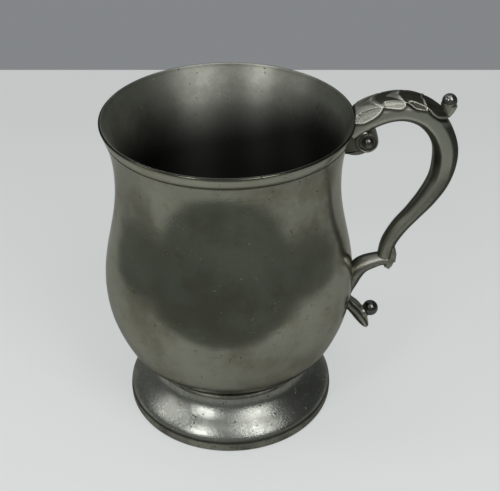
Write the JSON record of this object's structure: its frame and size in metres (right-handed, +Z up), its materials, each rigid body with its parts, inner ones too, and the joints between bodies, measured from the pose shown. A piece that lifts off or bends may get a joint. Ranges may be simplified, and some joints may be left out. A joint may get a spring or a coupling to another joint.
{
  "type": "pewter tankard",
  "caption": "Lidless tulip-shaped drinking tankard on a spreading hollow foot, with a cast double-scroll handle, a leaf on its back and ball terminals.",
  "frame": {"origin": "middle of the object's bounding box seen from above, at the height of the table it stands on; the bowl's own axis is 17.7 mm towards -X from it", "axes": "+Z up along the bowl's axis, +X from the bowl towards the handle, +Y across the handle"},
  "size_m": [0.1324, 0.097, 0.1348],
  "materials": {
    "spun_pewter": "aged pewter, worn satin polish",
    "foot_pewter": "aged pewter, brighter polish with pitting near the edge",
    "cast_pewter": "aged cast pewter, dark in the hollows and bright on the edges"
  },
  "bodies": {
    "root": {"bowl": "spun_pewter", "bowl_floor": "spun_pewter", "waist_collar": "spun_pewter", "foot": "foot_pewter", "foot_rim": "foot_pewter", "handle_arm": "cast_pewter", "leaf_cap": "cast_pewter", "thumb_ball": "cast_pewter", "root_scroll": "cast_pewter", "root_boss_left": "cast_pewter", "root_boss_right": "cast_pewter", "lower_scroll": "cast_pewter", "tail_leaf": "cast_pewter", "tail_ball": "cast_pewter"}
  },
  "joints": []
}
